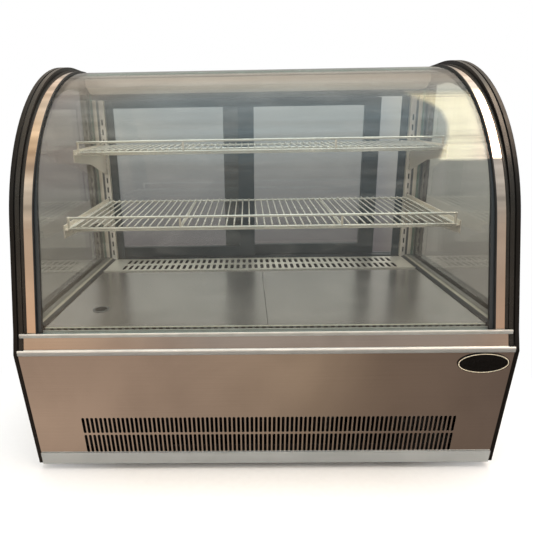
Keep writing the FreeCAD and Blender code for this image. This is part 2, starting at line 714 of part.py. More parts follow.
def make_brackets(name, guard_level, front_reach, hook_levels):
    """Cantilever brackets: a tapered web, a flange under the shelf and two hooks in the post slots."""
    root, tip, web_x, gap = S.post_face - 0.3, 8 - front_reach, S.post_in + 7, 3.5
    rise = 9  # the web stands this much above its flange
    root_top = rail_level(guard_level, root, front_reach) - gap
    tip_top = rail_level(guard_level, tip, front_reach) - gap
    for side_name, sign in SIDES:
        body = new_body(f"shelf_bracket_{name}_{side_name}", x=side_start(sign, web_x, web_x + 2.2))
        web = ([(root, root_top + rise), (tip, tip_top + rise), (tip, tip_top - 17),
                (root - 120, root_top - 38), (root, root_top - 72)], {})
        pad(body, "YZ_Plane", [web], dim(2.2), "web")
        flange = ([(root, root_top), (tip, tip_top), (tip, tip_top - 2), (root, root_top - 2)], {})
        flange_at = -14 if sign > 0 else 0.2
        pad(body, "YZ_Plane", [flange], dim(16), "flange", dim(flange_at))
        for number, hook in enumerate(hook_levels):
            loop = rectangle((root - 4, dim(hook - 5)), (S.post_face + 4, dim(hook + 4)))
            pad(body, "YZ_Plane", [loop], dim(2.2), f"hook_{number}", dim(0.001))
        node(body, f"shelf_bracket_{name}_{side_name}")


# ---------------------------------------------------------------- sliding doors

def make_door(name, start, middle):
    """One sliding door: moulded frame with guide tongues and finger pull, and its pane."""
    width, stile, depth = S.door_width, S.door_stile, S.door_depth
    low, high = S.door_low, S.door_high
    body = new_body(f"door_{name}_frame", x=start, y=middle - depth / 2)
    outer = rectangle((dim(0.001), low), (width, high))
    window = rectangle((stile, low + 28), (width - stile, high - 18))
    pad(body, "XZ_Plane", [outer, window], depth, "frame")
    tongue = rectangle((dim(8), low - 7), (width - 8, low + 1))
    pad(body, "XZ_Plane", [tongue], dim(4), "lower_tongue", depth / 2 - 2)
    tongue = rectangle((dim(8), high - 1), (width - 8, high + 9))
    pad(body, "XZ_Plane", [tongue], dim(4), "upper_tongue", depth / 2 - 2)
    pull_x = width - stile + 3 if name == "left" else dim(3)
    pull = rectangle((pull_x, high - 52), (pull_x + 36, high - 6))
    recess = body.newObject("PartDesign::Pocket", "finger_pull")
    recess.Profile = new_sketch(body, "XZ_Plane", [pull], "finger_pull_outline", -depth)
    recess.Reversed = False
    bind(recess, Length=3.5)
    body.Tip = recess
    pane_slot = block(f"pane_slot_{name}", (start + stile - 8, start + width - stile + 8),
                      (middle - 2.1, middle + 2.1), (low + 20, high - 10))
    node(cut(f"door_frame_{name}", body, [pane_slot]), f"door_{name}_frame")
    pane = block(f"door_{name}_glass", (start + stile - 7, start + width - stile + 7),
                 (middle - 2, middle + 2), (low + 21, high - 11))
    node(pane, f"door_{name}_glass")


# ---------------------------------------------------------------- refrigeration

TANK_X = dim(415)
TANK_FRONT = dim(-253)
TANK_REAR = dim(243)
FAN_X = dim(-40)


def make_tank():
    """Insulated tub under the display floor, with its drain outlet."""
    wall, low, high = S.tank_wall, S.tank_floor_level, UNDER_DECK - 1.6
    outer = block("tank_block", (-TANK_X, TANK_X), (TANK_FRONT, TANK_REAR), (low, high))
    space = block("tank_space", (wall - TANK_X, TANK_X - wall), (TANK_FRONT + wall, TANK_REAR - wall),
                  (low + wall, high + 5))
    outlet = rod("tank_outlet", "z", (-330, -190, low - 5), 9, 40)
    node(cut("insulated_tank", outer, [space, outlet]), "insulated_tank")


def make_fin_block(name, x, y, z, fin_pitch, fin_gap):
    """A finned coil: a block with deep slots that leave thin fins on a solid core."""
    (left, right), (front, rear), (low, high) = [[dim(value) for value in span] for span in (x, y, z)]
    fin_pitch, fin_gap = dim(fin_pitch), dim(fin_gap)
    length, width, height = right - left, rear - front, high - low
    body = new_body(name, x=left, y=front, z=low)
    pad(body, "XZ_Plane", [rectangle((dim(0.001), dim(0.001)), (length, height))], width, "core")
    low_slot = rectangle((dim(4), dim(-1)), (4 + fin_gap, height * 0.42))
    high_slot = rectangle((dim(4), height * 0.58), (4 + fin_gap, height + 1))
    slots = pocket_through(body, "XZ_Plane", [low_slot, high_slot], "fin_gap")
    count = int((length.value - 8) / fin_pitch.value)
    repeat(body, slots, "H_Axis", fin_pitch, dim(count), "fin_gaps")
    return node(body, name)


def fan_shape(radius, hub_radius, depth, blade_count, pitch_angle):
    """Axial fan about the Y axis: a hub with flat blades set at an angle."""
    hub = Part.makeCylinder(hub_radius, depth, Vector(0, -depth / 2, 0), Vector(0, 1, 0))
    blades = []
    for number in range(blade_count):
        blade = Part.makeBox(hub_radius * 1.5, 1.8, radius - hub_radius * 0.8,
                             Vector(-hub_radius * 0.75, -0.9, hub_radius * 0.8))
        blade.rotate(Vector(), Vector(0, 0, 1), pitch_angle)
        blade.rotate(Vector(), Vector(0, 1, 0), 360 * number / blade_count)
        blades.append(blade)
    rim = Part.makeCylinder(radius, depth * 3, Vector(0, -depth * 1.5, 0), Vector(0, 1, 0))
    bore = Part.makeCylinder(2.55, depth * 3, Vector(0, -depth * 1.5, 0), Vector(0, 1, 0))
    return hub.multiFuse(blades).common(rim).cut(bore)


def make_fan(name, place, radius, hub_radius, depth, blade_count):
    solid_feature(name, fan_shape(radius.value, hub_radius, depth, blade_count, 28), place)


def make_fan_frame(name, place, radius, half_width, half_height, depth, hub_radius, hub_gap):
    """Square plate with a round throat, and a motor on spokes behind the fan with its shaft."""
    px, py, pz = [dim(value) for value in place]
    plate = block(name + "_plate", (px - half_width, px + half_width), (py - depth / 2, py + depth / 2),
                  (pz - half_height, pz + half_height))
    throat = rod(name + "_throat", "y", (px, py - depth, pz), radius + 2.5, depth * 2)
    frame = cut(name + "_open", plate, [throat])
    motor = rod(name + "_motor", "y", (px, py + hub_gap, pz), hub_radius, depth)
    shaft = rod(name + "_shaft", "y", (px, py - hub_gap + 2, pz), 2.5, hub_gap * 2)
    spoke_y = (py + hub_gap + 2, py + hub_gap + 5)
    spokes = [block(f"{name}_spoke_{n}", (px - x, px + x), spoke_y, (pz - z, pz + z))
              for n, (x, z) in enumerate(((dim(half_width), dim(5)), (dim(5), dim(half_height))))]
    ties = [block(f"{name}_tie_{n}", (px + dx - 5, px + dx + 5), (py + depth / 2 - 1, py + hub_gap + 5),
                  (pz - 5, pz + 5)) for n, dx in enumerate((5 - dim(half_width), dim(half_width) - 5))]
    node(fuse(name, [frame, motor, shaft] + spokes + ties), name)


def make_compressor():
    """Hermetic compressor: drawn steel can with a domed top on a foot plate."""
    x, y, low = dim(250), dim(60), S.foot_height + 2.2
    plate = block("compressor_plate", (x - 75, x + 75), (y - 60, y + 60), (low, low + 4))
    pads = [rod(f"compressor_pad_{n}", "z", (x + dx, y + dy, low + 3), 9, 14)
            for n, (dx, dy) in enumerate([(-60, -45), (60, -45), (-60, 45), (60, 45)])]
    deck = block("compressor_feet", (x - 70, x + 70), (y - 55, y + 55), (low + 16, low + 19))
    can = rod("compressor_can", "z", (x, y, low + 18), 52, 78)
    dome = DOC.addObject("Part::Ellipsoid", "compressor_dome")
    bind(dome, Radius1=28, Radius2=52, Radius3=52)
    move(dome, x, y, low + 96)
    box = block("compressor_terminals", (x + 45, x + 66), (y - 24, y + 24), (low + 40, low + 84))
    node(fuse("compressor", [plate, deck, can, dome, box] + pads), "compressor")


def tube(points, radius, bend):
    """A round tube along straight runs joined by tangent arcs of one bend radius."""
    edges = []
    start = points[0]
    for before, corner, after in zip(points, points[1:], points[2:]):
        inward = (corner - before).normalize()
        outward = (after - corner).normalize()
        turn = inward.getAngle(outward)
        reach = bend * math.tan(turn / 2)
        first, last = corner - inward * reach, corner + outward * reach
        bisector = (outward - inward).normalize()
        middle = corner + bisector * (bend / math.cos(turn / 2) - bend)
        edges.append(Part.LineSegment(start, first).toShape())
        edges.append(Part.Arc(first, middle, last).toShape())
        start = last
    edges.append(Part.LineSegment(start, points[-1]).toShape())
    path = Part.Wire(edges)
    direction = points[1] - points[0]
    ring = Part.Wire(Part.Circle(points[0], direction, radius).toShape())
    return path.makePipeShell([ring], True, True)


def make_pipes():
    """Copper lines: discharge to the condenser, liquid line with its drier, suction from the coil."""
    discharge = tube([Vector(240, 2, 90), Vector(240, -60, 90), Vector(240, -60, 150), Vector(120, -60, 150),
                      Vector(120, -120, 150), Vector(120, -120, 134)], 3.2, 14)
    liquid = tube([Vector(-180, -120, 134), Vector(-180, -120, 160), Vector(-180, 20, 160),
                   Vector(-180, 20, 130)], 3.2, 12)
    drier = Part.makeCylinder(10, 70, Vector(-180, 20, 62))
    suction = tube([Vector(300, 130, 183), Vector(300, 130, 150), Vector(300, 20, 150), Vector(300, 20, 130),
                    Vector(291, 20, 113)], 4.5, 9)
    solid_feature("refrigerant_pipes", Part.makeCompound([discharge, liquid.fuse(drier), suction]))


# ---------------------------------------------------------------- rear service side

CONTROL_X = (dim(246), dim(404))
CONTROL_Z = (dim(206), dim(284))
CONTROL_FACE = REAR - 18
SWITCH_Z = dim(245)


def make_rear_panel():
    """Lower rear cover with louvres and cut-outs for the controls and the mains inlet."""
    body = new_body("rear_panel", x=-CLEAR_IN, y=REAR - 4.5)
    wide = CLEAR_IN * 2
    outline = rectangle((dim(0.001), S.foot_height + 2), (wide, dim(294)))
    controls = rectangle((CONTROL_X[0] + CLEAR_IN - 0.3, CONTROL_Z[0] - 0.3),
                         (CONTROL_X[1] + CLEAR_IN + 0.3, CONTROL_Z[1] + 0.3))
    inlet = rectangle((INLET_X + CLEAR_IN - 24.3, INLET_Z - 14.3),
                      (INLET_X + CLEAR_IN + 24.3, INLET_Z + 14.3))
    pad(body, "XZ_Plane", [outline, controls, inlet], S.sheet, "sheet")
    columns = [flat_slot(dim(low), dim(low + 120), dim(62), 6) for low in (120, 270, 420)]
    louvres = pocket_through(body, "XZ_Plane", columns, "louvre_row")
    repeat(body, louvres, "V_Axis", dim(14), dim(9), "louvres")
    node(body, "rear_panel")


INLET_X = dim(-360)
INLET_Z = dim(70)


def make_power_inlet():
    """Recessed appliance inlet with three flat pins and no cord."""
    back, face = REAR - 34, REAR - 2.6
    case = block("inlet_case", (INLET_X - 24, INLET_X + 24), (back, face), (INLET_Z - 14, INLET_Z + 14))
    well = block("inlet_well", (INLET_X - 12.5, INLET_X + 12.5), (face - 18, REAR),
                 (INLET_Z - 8.5, INLET_Z + 8.5))
    pin_places = ((-7, -2), (0, 3), (7, -2))
    pins = [block(f"inlet_pin_{number}", (INLET_X + dx - 1, INLET_X + dx + 1), (face - 19, face - 3),
                  (INLET_Z + dz - 2, INLET_Z + dz + 2)) for number, (dx, dz) in enumerate(pin_places)]
    flange = block("inlet_flange", (INLET_X - 28, INLET_X + 28), (REAR - 2.9, REAR - 1.4),
                   (INLET_Z - 17, INLET_Z + 17))
    body = cut("inlet_body", fuse("inlet_outer", [case, flange]), [well])
    node(fuse("power_inlet", [body] + pins), "power_inlet")


ROCKERS = (("power_switch", dim(275)), ("light_switch", dim(309)))
KNOB_X = dim(366)
ROCKER_TILT = 7  # degrees from level to either end of its travel


def make_control_box():
    """Recessed control box: two rocker wells and a bearing hole for the thermostat spindle."""
    outer = block("control_outer", CONTROL_X, (TANK_REAR + 1, REAR - 1.5), CONTROL_Z)
    recess = block("control_recess", (CONTROL_X[0] + 4, CONTROL_X[1] - 4), (CONTROL_FACE, REAR + 1),
                   (CONTROL_Z[0] + 4, CONTROL_Z[1] - 4))
    wells = [block(f"{name}_well", (x - 9, x + 9), (CONTROL_FACE - 14, CONTROL_FACE + 1),
                   (SWITCH_Z - 13, SWITCH_Z + 13)) for name, x in ROCKERS]
    hole = rod("spindle_hole", "y", (KNOB_X, CONTROL_FACE - 20, SWITCH_Z), 3.05, 25)
    node(cut("control_box", outer, [recess, hole] + wells), "control_box")


def make_rockers():
    """Rocker keys with a shallow V face, tipped to one side about a pin across the well."""
    for name, x in ROCKERS:
        body = new_body(name)
        body.Placement = Placement(Vector(), Rotation(Vector(1, 0, 0), -ROCKER_TILT))
        move(body, x - 8.4, CONTROL_FACE - 1, SWITCH_Z)
        loop = ([(-5, -11), (4.4, -11.2), (2.4, 0), (4.4, 11.2), (-5, 11)], {})
        pad(body, "YZ_Plane", [loop], dim(16.8), "key")
        node(body, name)


def make_thermostat_knob():
    """Knob with a pointer ridge and its spindle."""
    skirt = rod("knob_skirt", "y", (KNOB_X, CONTROL_FACE + 0.6, SWITCH_Z), 15, 4)
    grip = rod("knob_grip", "y", (KNOB_X, CONTROL_FACE + 4, SWITCH_Z), 11.5, 10)
    ridge = block("knob_ridge", (KNOB_X - 1.6, KNOB_X + 1.6), (CONTROL_FACE + 4, CONTROL_FACE + 15.5),
                  (SWITCH_Z - 8, SWITCH_Z + 12.5))
    spindle = rod("knob_spindle", "y", (KNOB_X, CONTROL_FACE - 18, SWITCH_Z), 3, 20)
    node(fuse("thermostat_knob", [skirt, grip, ridge, spindle]), "thermostat_knob")


# ---------------------------------------------------------------- build and export

def build():
    make_end_caps()
    make_side_panels()
    make_side_glass()
    make_front_glass()
    make_glass_edges()
    make_sill_channel()
    make_front_band()
    make_knee_trim()
    make_front_panel()
    make_bottom_rail()
    make_nameplate()
    make_base()
    make_roof()
    make_rear_header()
    make_door_track()
    make_posts()
    make_light()
    make_deck()
    make_drain()
    make_air_grilles()
    make_sill_seals()
    make_shelf("shelf_lower", S.lower_shelf_level, S.lower_shelf_front)
    make_shelf("shelf_upper", S.upper_shelf_level, S.upper_shelf_front)
    make_brackets("lower", S.lower_shelf_level, S.lower_shelf_front, (430, 455))
    make_brackets("upper", S.upper_shelf_level, S.upper_shelf_front, (580, 605))
    make_door("left", S.left_door_start, S.inner_door_y)
    make_door("right", S.right_door_start, S.outer_door_y)
    make_tank()
    make_fin_block("evaporator_coil", (-330, 330), (40, 180), (212, 292), 10, 7)
    make_fan_frame("evaporator_fan_frame", (FAN_X, -20, 252), S.evaporator_fan_radius, 330, 42, 12, 14, 12)
    make_fan("evaporator_fan", (FAN_X, -20, 252), S.evaporator_fan_radius, 12, 12, 5)
    make_compressor()
    make_fin_block("condenser_coil", (-200, 140), (-190, -140), (22, 172), 6, 4)
    make_fan_frame("condenser_fan_frame", (FAN_X, -98, 97), S.fan_radius, 82, 76, 16, 26, 18)
    make_fan("condenser_fan", (FAN_X, -98, 97), S.fan_radius, 20, 18, 5)
    make_pipes()
    make_rear_panel()
    make_power_inlet()
    make_control_box()
    make_rockers()
    make_thermostat_knob()


def check_and_export():
    DOC.recompute()
    failed = [o.Name for o in DOC.Objects if "Invalid" in o.State or "Error" in o.State]
    if failed:
        raise RuntimeError(f"objects failed to compute: {failed}")
    for name, obj in NODES:
        if obj.Shape.isNull() or not obj.Shape.isValid() or not obj.Shape.Solids:
            raise RuntimeError(f"bad shape: {name}")
    os.makedirs("parts", exist_ok=True)
    for name, obj in NODES:
        obj.Shape.exportStep(os.path.join("parts", name + ".step"))
        box = obj.Shape.BoundBox
        print(f"{name:28s} solids {len(obj.Shape.Solids):3d} volume {obj.Shape.Volume:12.0f}  "
              f"x {box.XMin:7.1f} {box.XMax:7.1f}  y {box.YMin:7.1f} {box.YMax:7.1f}  "
              f"z {box.ZMin:7.1f} {box.ZMax:7.1f}")
    print(len(NODES), "nodes")


build()
check_and_export()
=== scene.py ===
import math

import bmesh
import bpy
from mathutils import Matrix, Vector


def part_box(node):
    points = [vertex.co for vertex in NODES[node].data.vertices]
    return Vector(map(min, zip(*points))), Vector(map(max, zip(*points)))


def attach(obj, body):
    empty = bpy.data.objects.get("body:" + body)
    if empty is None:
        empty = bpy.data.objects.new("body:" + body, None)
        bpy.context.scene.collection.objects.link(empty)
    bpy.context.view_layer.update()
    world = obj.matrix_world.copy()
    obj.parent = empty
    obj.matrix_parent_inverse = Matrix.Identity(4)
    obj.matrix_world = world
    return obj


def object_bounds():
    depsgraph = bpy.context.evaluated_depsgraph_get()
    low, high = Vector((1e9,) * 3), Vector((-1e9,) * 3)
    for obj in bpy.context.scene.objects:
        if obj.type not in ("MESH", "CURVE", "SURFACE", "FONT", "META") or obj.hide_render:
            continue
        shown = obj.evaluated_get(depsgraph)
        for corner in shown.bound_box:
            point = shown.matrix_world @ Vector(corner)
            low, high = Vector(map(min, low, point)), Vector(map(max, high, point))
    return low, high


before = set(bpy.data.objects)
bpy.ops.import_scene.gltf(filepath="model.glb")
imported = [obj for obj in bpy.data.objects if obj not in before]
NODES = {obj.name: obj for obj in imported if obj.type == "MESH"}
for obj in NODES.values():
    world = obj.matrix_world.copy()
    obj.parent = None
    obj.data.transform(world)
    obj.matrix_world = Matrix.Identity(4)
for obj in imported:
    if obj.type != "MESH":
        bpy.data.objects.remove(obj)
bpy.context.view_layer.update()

# Looks of the glass display showcase. Metres, in the frame of the CAD model: +X right, +Y rear, +Z up.

WHITE = (1.0, 1.0, 1.0)
MM_PER_M = 1000


# ---------------------------------------------------------------- camera, floor, light

def make_camera():
    """Standing viewpoint a little left of the middle, tilted down, with a slight roll."""
    lens = bpy.data.cameras.new("camera")
    lens.sensor_width = 36
    lens.lens = 31.76
    lens.shift_x = 0.0478
    lens.shift_y = 0.0047
    lens.clip_start = 0.05
    camera = bpy.data.objects.new("camera", lens)
    bpy.context.scene.collection.objects.link(camera)
    standpoint = (-0.0258, -1.0505, 0.640)
    turn, tilt, roll = math.radians(0.97), math.radians(74.22), math.radians(-0.93)
    camera.matrix_world = (Matrix.Translation(standpoint)
                           @ Matrix.Rotation(turn, 4, "Z")
                           @ Matrix.Rotation(tilt, 4, "X")
                           @ Matrix.Rotation(roll, 4, "Z"))
    bpy.context.scene.camera = camera


class Tree:
    """A node tree, written one node at a time."""

    def __init__(self, tree, output):
        self.nodes = tree.nodes
        self.links = tree.links
        self.nodes.clear()
        self.output = self.nodes.new(output)

    def add(self, kind, **inputs):
        """A node with its inputs set to numbers or linked to sockets; _ stands for a space."""
        made = self.nodes.new("ShaderNode" + kind)
        for key, value in inputs.items():
            self.feed(made.inputs[key.replace("_", " ")], value)
        return made

    def feed(self, socket, value):
        if isinstance(value, bpy.types.NodeSocket):
            self.links.new(value, socket)
        else:
            socket.default_value = value

    def math(self, operation, *values):
        made = self.nodes.new("ShaderNodeMath")
        made.operation = operation
        for socket, value in zip(made.inputs, values):
            self.feed(socket, value)
        return made.outputs[0]

    def ramp(self, factor, *stops):
        """Colour ramp from (position, colour) stops."""
        made = self.nodes.new("ShaderNodeValToRGB")
        elements = made.color_ramp.elements
        while len(elements) < len(stops):
            elements.new(1)
        for element, (position, colour) in zip(elements, stops):
            element.position = position
            element.color = (*colour, 1)
        self.feed(made.inputs[0], factor)
        return made.outputs[0]

    def between(self, factor, low, high, start=0.35, end=0.65):
        """A factor such as a noise, spread over low to high."""
        made = self.nodes.new("ShaderNodeMapRange")
        for key, value in (("From Min", start), ("From Max", end), ("To Min", low), ("To Max", high)):
            made.inputs[key].default_value = value
        self.feed(made.inputs["Value"], factor)
        return made.outputs["Result"]

    def mix(self, factor, first, second):
        """Mix of two colours."""
        made = self.nodes.new("ShaderNodeMix")
        made.data_type = "RGBA"
        self.feed(made.inputs["Factor"], factor)
        for socket, value in ((made.inputs[6], first), (made.inputs[7], second)):
            self.feed(socket, value if isinstance(value, bpy.types.NodeSocket) else (*value, 1))
        return made.outputs[2]

    def multiply(self, first, second):
        """Product of two colours."""
        made = self.nodes.new("ShaderNodeMix")
        made.data_type = "RGBA"
        made.blend_type = "MULTIPLY"
        made.inputs["Factor"].default_value = 1
        self.feed(made.inputs[6], first)
        self.feed(made.inputs[7], second)
        return made.outputs[2]

    def tint(self, colour, share, tone):
        """The colour multiplied by a tone where share is 1, and unchanged where it is 0."""
        return self.multiply(colour, self.mix(share, WHITE, tone))

    def blend(self, factor, first, second):
        """Mix of two shader nodes."""
        made = self.nodes.new("ShaderNodeMixShader")
        self.feed(made.inputs["Fac"], factor)
        self.links.new(first.outputs[0], made.inputs[1])
        self.links.new(second.outputs[0], made.inputs[2])
        return made


def grey(tone):
    return (tone, tone, tone)


def add_skylight(tree, axis, studio):
    """A bright streaked skylight high at the right, over the studio's colour. Its inner edge is curved.

    The rise runs from 0 at the front horizon over 0.5 at the zenith to 1 at the rear horizon."""
    frontward = tree.math("MULTIPLY", axis["Y"], -1.0)
    rise = tree.math("DIVIDE", tree.math("ARCTAN2", axis["Z"], frontward), math.pi)
    edge = tree.ramp(rise, (0.317, grey(0.366)), (0.40, grey(0.377)), (0.47, grey(0.375)),
                     (0.528, grey(0.364)), (0.572, grey(0.345)), (0.60, grey(0.325)), (0.64, grey(0.296)))
    inside = tree.between(tree.math("SUBTRACT", axis["X"], edge), 0, 1, -0.003, 0.006)
    inside = tree.math("MULTIPLY", inside, tree.between(axis["X"], 1, 0, 0.54, 0.66))
    inside = tree.math("MULTIPLY", inside, tree.between(rise, 0, 1, 0.317, 0.321))
    inside = tree.math("MULTIPLY", inside, tree.between(rise, 1, 0, 0.610, 0.650))
    run = tree.add("CombineXYZ", X=tree.math("MULTIPLY", axis["X"], 3.0),
                   Y=tree.math("MULTIPLY", rise, 110.0))
    streak = tree.add("TexNoise", Vector=run.outputs[0], Scale=1.0, Detail=3.0).outputs[0]
    tone = tree.ramp(axis["X"], (0.36, (7.8, 7.2, 5.1)), (0.415, (8.0, 7.2, 5.3)), (0.445, (8.6, 6.6, 5.3)))
    tone = tree.multiply(tone, tree.ramp(streak, (0.36, (0.42, 0.34, 0.28)), (0.42, (0.88, 0.85, 0.82)),
                                         (0.60, grey(1.08))))
    tone = tree.multiply(tone, tree.ramp(rise, (0.33, WHITE), (0.52, grey(0.86)),
                                         (0.62, (0.50, 0.48, 0.46))))
    return tree.mix(inside, studio, tone)


def make_world():
    """Soft studio with a white backdrop.

    Mirrors and panes see a warm front, a cool rear and a bright ceiling instead, which drift in tone."""
    world = bpy.data.worlds.new("studio")
    bpy.context.scene.world = world
    world.use_nodes = True
    tree = Tree(world.node_tree, "ShaderNodeOutputWorld")
    direction = tree.add("TexCoord").outputs["Generated"]
    split = tree.add("SeparateXYZ", Vector=direction)
    height = tree.math("MULTIPLY_ADD", split.outputs["Z"], 0.5, 0.5)
    front = tree.ramp(height,
                      (0.0, (0.30, 0.225, 0.17)), (0.15, (0.42, 0.31, 0.235)), (0.33, (0.33, 0.245, 0.19)),
                      (0.49, (0.46, 0.35, 0.275)), (0.58, (0.38, 0.355, 0.33)), (0.72, (0.34, 0.38, 0.40)),
                      (0.90, (0.52, 0.58, 0.62)), (1.0, (1.15, 1.42, 1.56)))
    rear = tree.ramp(height,
                     (0.0, (0.12, 0.115, 0.11)), (0.39, (0.14, 0.125, 0.13)), (0.44, (0.20, 0.195, 0.20)),
                     (0.50, (0.29, 0.295, 0.29)), (0.60, (0.42, 0.42, 0.41)), (0.72, (0.58, 0.54, 0.48)),
                     (0.83, (1.02, 0.88, 0.74)), (0.91, (1.16, 1.13, 1.04)), (1.0, (1.15, 1.42, 1.56)))
    rearward = tree.between(split.outputs["Y"], 0, 1, -0.2, 0.25)
    studio = tree.mix(rearward, front, rear)
    across = tree.math("MULTIPLY_ADD", split.outputs["X"], 0.5, 0.5)
    shade = tree.ramp(across, (0.30, (1.0, 0.98, 0.96)), (0.44, (0.86, 0.86, 0.85)),
                      (0.56, (0.74, 0.74, 0.70)), (0.64, (0.46, 0.45, 0.44)), (0.75, (0.40, 0.40, 0.42)))
    low = tree.between(height, 1, 0, 0.20, 0.50)
    studio = tree.tint(studio, low, shade)
    high_flanks = tree.ramp(across, (0.33, (0.56, 0.47, 0.50)), (0.37, WHITE), (0.63, WHITE),
                            (0.67, (1.46, 1.40, 1.22)))
    low_flanks = tree.ramp(across, (0.33, (1.30, 1.34, 1.12)), (0.37, WHITE), (0.63, WHITE),
                           (0.67, (2.05, 2.05, 1.7)))
    flanks = tree.mix(tree.between(height, 0, 1, 0.39, 0.46), low_flanks, high_flanks)
    behind = tree.math("MULTIPLY", rearward, tree.between(height, 1, 0, 0.55, 0.70))
    studio = tree.tint(studio, behind, flanks)
    warm_sides = tree.ramp(across, (0.30, (1.55, 1.28, 1.02)), (0.46, WHITE), (0.70, WHITE),
                           (0.75, (1.35, 1.14, 0.96)))
    upper_front = tree.math("MULTIPLY", tree.math("SUBTRACT", 1.0, rearward),
                            tree.between(height, 0, 1, 0.42, 0.52))
    studio = tree.tint(studio, upper_front, warm_sides)
    dim_left = tree.ramp(across, (0.30, (0.68, 0.54, 0.42)), (0.42, WHITE))
    studio = tree.tint(studio, tree.between(height, 0, 1, 0.80, 0.92), dim_left)
    elevation = tree.math("ARCTAN2", split.outputs["Z"], split.outputs["Y"])
    beams = tree.add("CombineXYZ", X=tree.math("MULTIPLY", split.outputs["X"], 0.8),
                     Y=tree.math("MULTIPLY", elevation, 9.0))
    beam = tree.add("TexNoise", Vector=beams.outputs[0], Scale=1.0, Detail=4.0).outputs[0]
    beam = tree.ramp(beam, (0.35, (0.78, 0.77, 0.76)), (0.65, grey(1.22)))
    studio = tree.tint(studio, tree.between(height, 0, 1, 0.50, 0.60), beam)
    cloud = tree.add("TexNoise", Vector=direction, Scale=2.6, Detail=3.0, Distortion=0.6).outputs[0]
    studio = tree.multiply(studio, tree.ramp(cloud, (0.30, (0.86, 0.85, 0.85)), (0.70, (1.14, 1.14, 1.13))))
    studio = add_skylight(tree, split.outputs, studio)
    path = tree.add("LightPath")
    direct = tree.math("LESS_THAN", path.outputs["Transparent Depth"], 0.5)
    backdrop = tree.math("MULTIPLY", path.outputs["Is Camera Ray"], direct)
    colour = tree.mix(backdrop, studio, WHITE)
    tree.feed(tree.output.inputs["Surface"], tree.add("Background", Color=colour).outputs[0])


def soft_light(name, place, target, size, power, colour):
    """A rectangular soft box at place that faces target. Mirrors and panes don't show it."""
    light = bpy.data.lights.new(name, "AREA")
    light.shape = "RECTANGLE"
    light.size, light.size_y = size
    light.energy = power
    light.color = colour
    box = bpy.data.objects.new(name, light)
    box.location = place
    box.rotation_mode = "QUATERNION"
    box.rotation_quaternion = (Vector(target) - Vector(place)).to_track_quat("-Z", "Y")
    box.visible_glossy = False
    bpy.context.scene.collection.objects.link(box)
    return box


def make_lights():
    low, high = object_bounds()
    middle = (low + high) / 2
    warm, neutral = (1.0, 0.95, 0.88), (1.0, 0.985, 0.96)
    soft_light("soft_top", (0, -0.2, 2.4), middle, (2.6, 1.8), 42, neutral)
    soft_light("soft_front_left", (-2.0, -1.9, 1.7), middle, (1.2, 1.4), 20, warm)
    soft_light("soft_rear", (0.8, 2.2, 1.6), middle, (1.8, 1.0), 22, neutral)


def make_floor():
    """Pale floor that fades into the backdrop. Mirrors and panes show the studio in its place."""
    reach, fade_start, fade_end = 12, 0.37, 0.75
    mesh = bpy.data.meshes.new("floor")
    corners = [(-reach, -reach, 0), (reach, -reach, 0), (reach, reach, 0), (-reach, reach, 0)]
    mesh.from_pydata(corners, [], [(0, 1, 2, 3)])
    floor = bpy.data.objects.new("floor", mesh)
    bpy.context.scene.collection.objects.link(floor)
    material = bpy.data.materials.new("pale_floor")
    material.use_nodes = True
    tree = Tree(material.node_tree, "ShaderNodeOutputMaterial")
    place = tree.add("TexCoord").outputs["Object"]
    grain = tree.add("TexNoise", Vector=place, Scale=90.0, Detail=4.0).outputs[0]
    shade = tree.ramp(grain, (0.3, grey(0.93)), (0.7, grey(0.96)))
    paint = tree.add("BsdfPrincipled", Base_Color=shade, Roughness=0.75)
    white = tree.add("Emission", Color=(1, 1, 1, 1), Strength=1.0)
    clear = tree.add("BsdfTransparent")
    path = tree.add("LightPath")
    away = tree.add("VectorMath", Vector=place)
    away.operation = "LENGTH"
    fade = tree.between(away.outputs["Value"], 0, 1, fade_start, fade_end)
    fade = tree.math("MULTIPLY", fade, path.outputs["Is Camera Ray"])
    faded = tree.blend(fade, paint, white)
    seen_through = tree.math("GREATER_THAN", path.outputs["Transparent Depth"], 0.5)
    mixed = tree.blend(seen_through, faded, clear)
    tree.feed(tree.output.inputs["Surface"], mixed.outputs[0])
    mesh.materials.append(material)
    floor.visible_glossy = False


# ---------------------------------------------------------------- materials

class Finish(Tree):
    """A material of one Principled shader, textured in the part's own frame."""

    def __init__(self, name, edge=0.0005, **shader):
        self.material = bpy.data.materials.new(name)
        self.material.use_nodes = True
        super().__init__(self.material.node_tree, "ShaderNodeOutputMaterial")
        self.place = self.add("TexCoord").outputs["Object"]
        self.shader = self.add("BsdfPrincipled", **shader)
        self.feed(self.output.inputs["Surface"], self.shader.outputs[0])
        rounded = self.add("Bevel", Radius=edge)
        rounded.samples = 4
        self.rounded = rounded.outputs[0]

    def set(self, key, value):
        self.feed(self.shader.inputs[key], value)

    def stretched(self, x, y, z):
        """The place, scaled so that a pattern runs long in one direction."""
        made = self.add("Mapping", Vector=self.place)
        made.inputs["Scale"].default_value = (x, y, z)
        return made.outputs[0]

    def noise(self, scale, detail=3.0, vector=None, distortion=0.0):
        source = self.place if vector is None else vector
        return self.add("TexNoise", Vector=source, Scale=float(scale), Detail=float(detail),
                        Distortion=float(distortion)).outputs[0]

    def bump(self, height, strength, distance, under=None):
        under = self.rounded if under is None else under
        return self.add("Bump", Height=height, Strength=strength, Distance=distance, Normal=under).outputs[0]


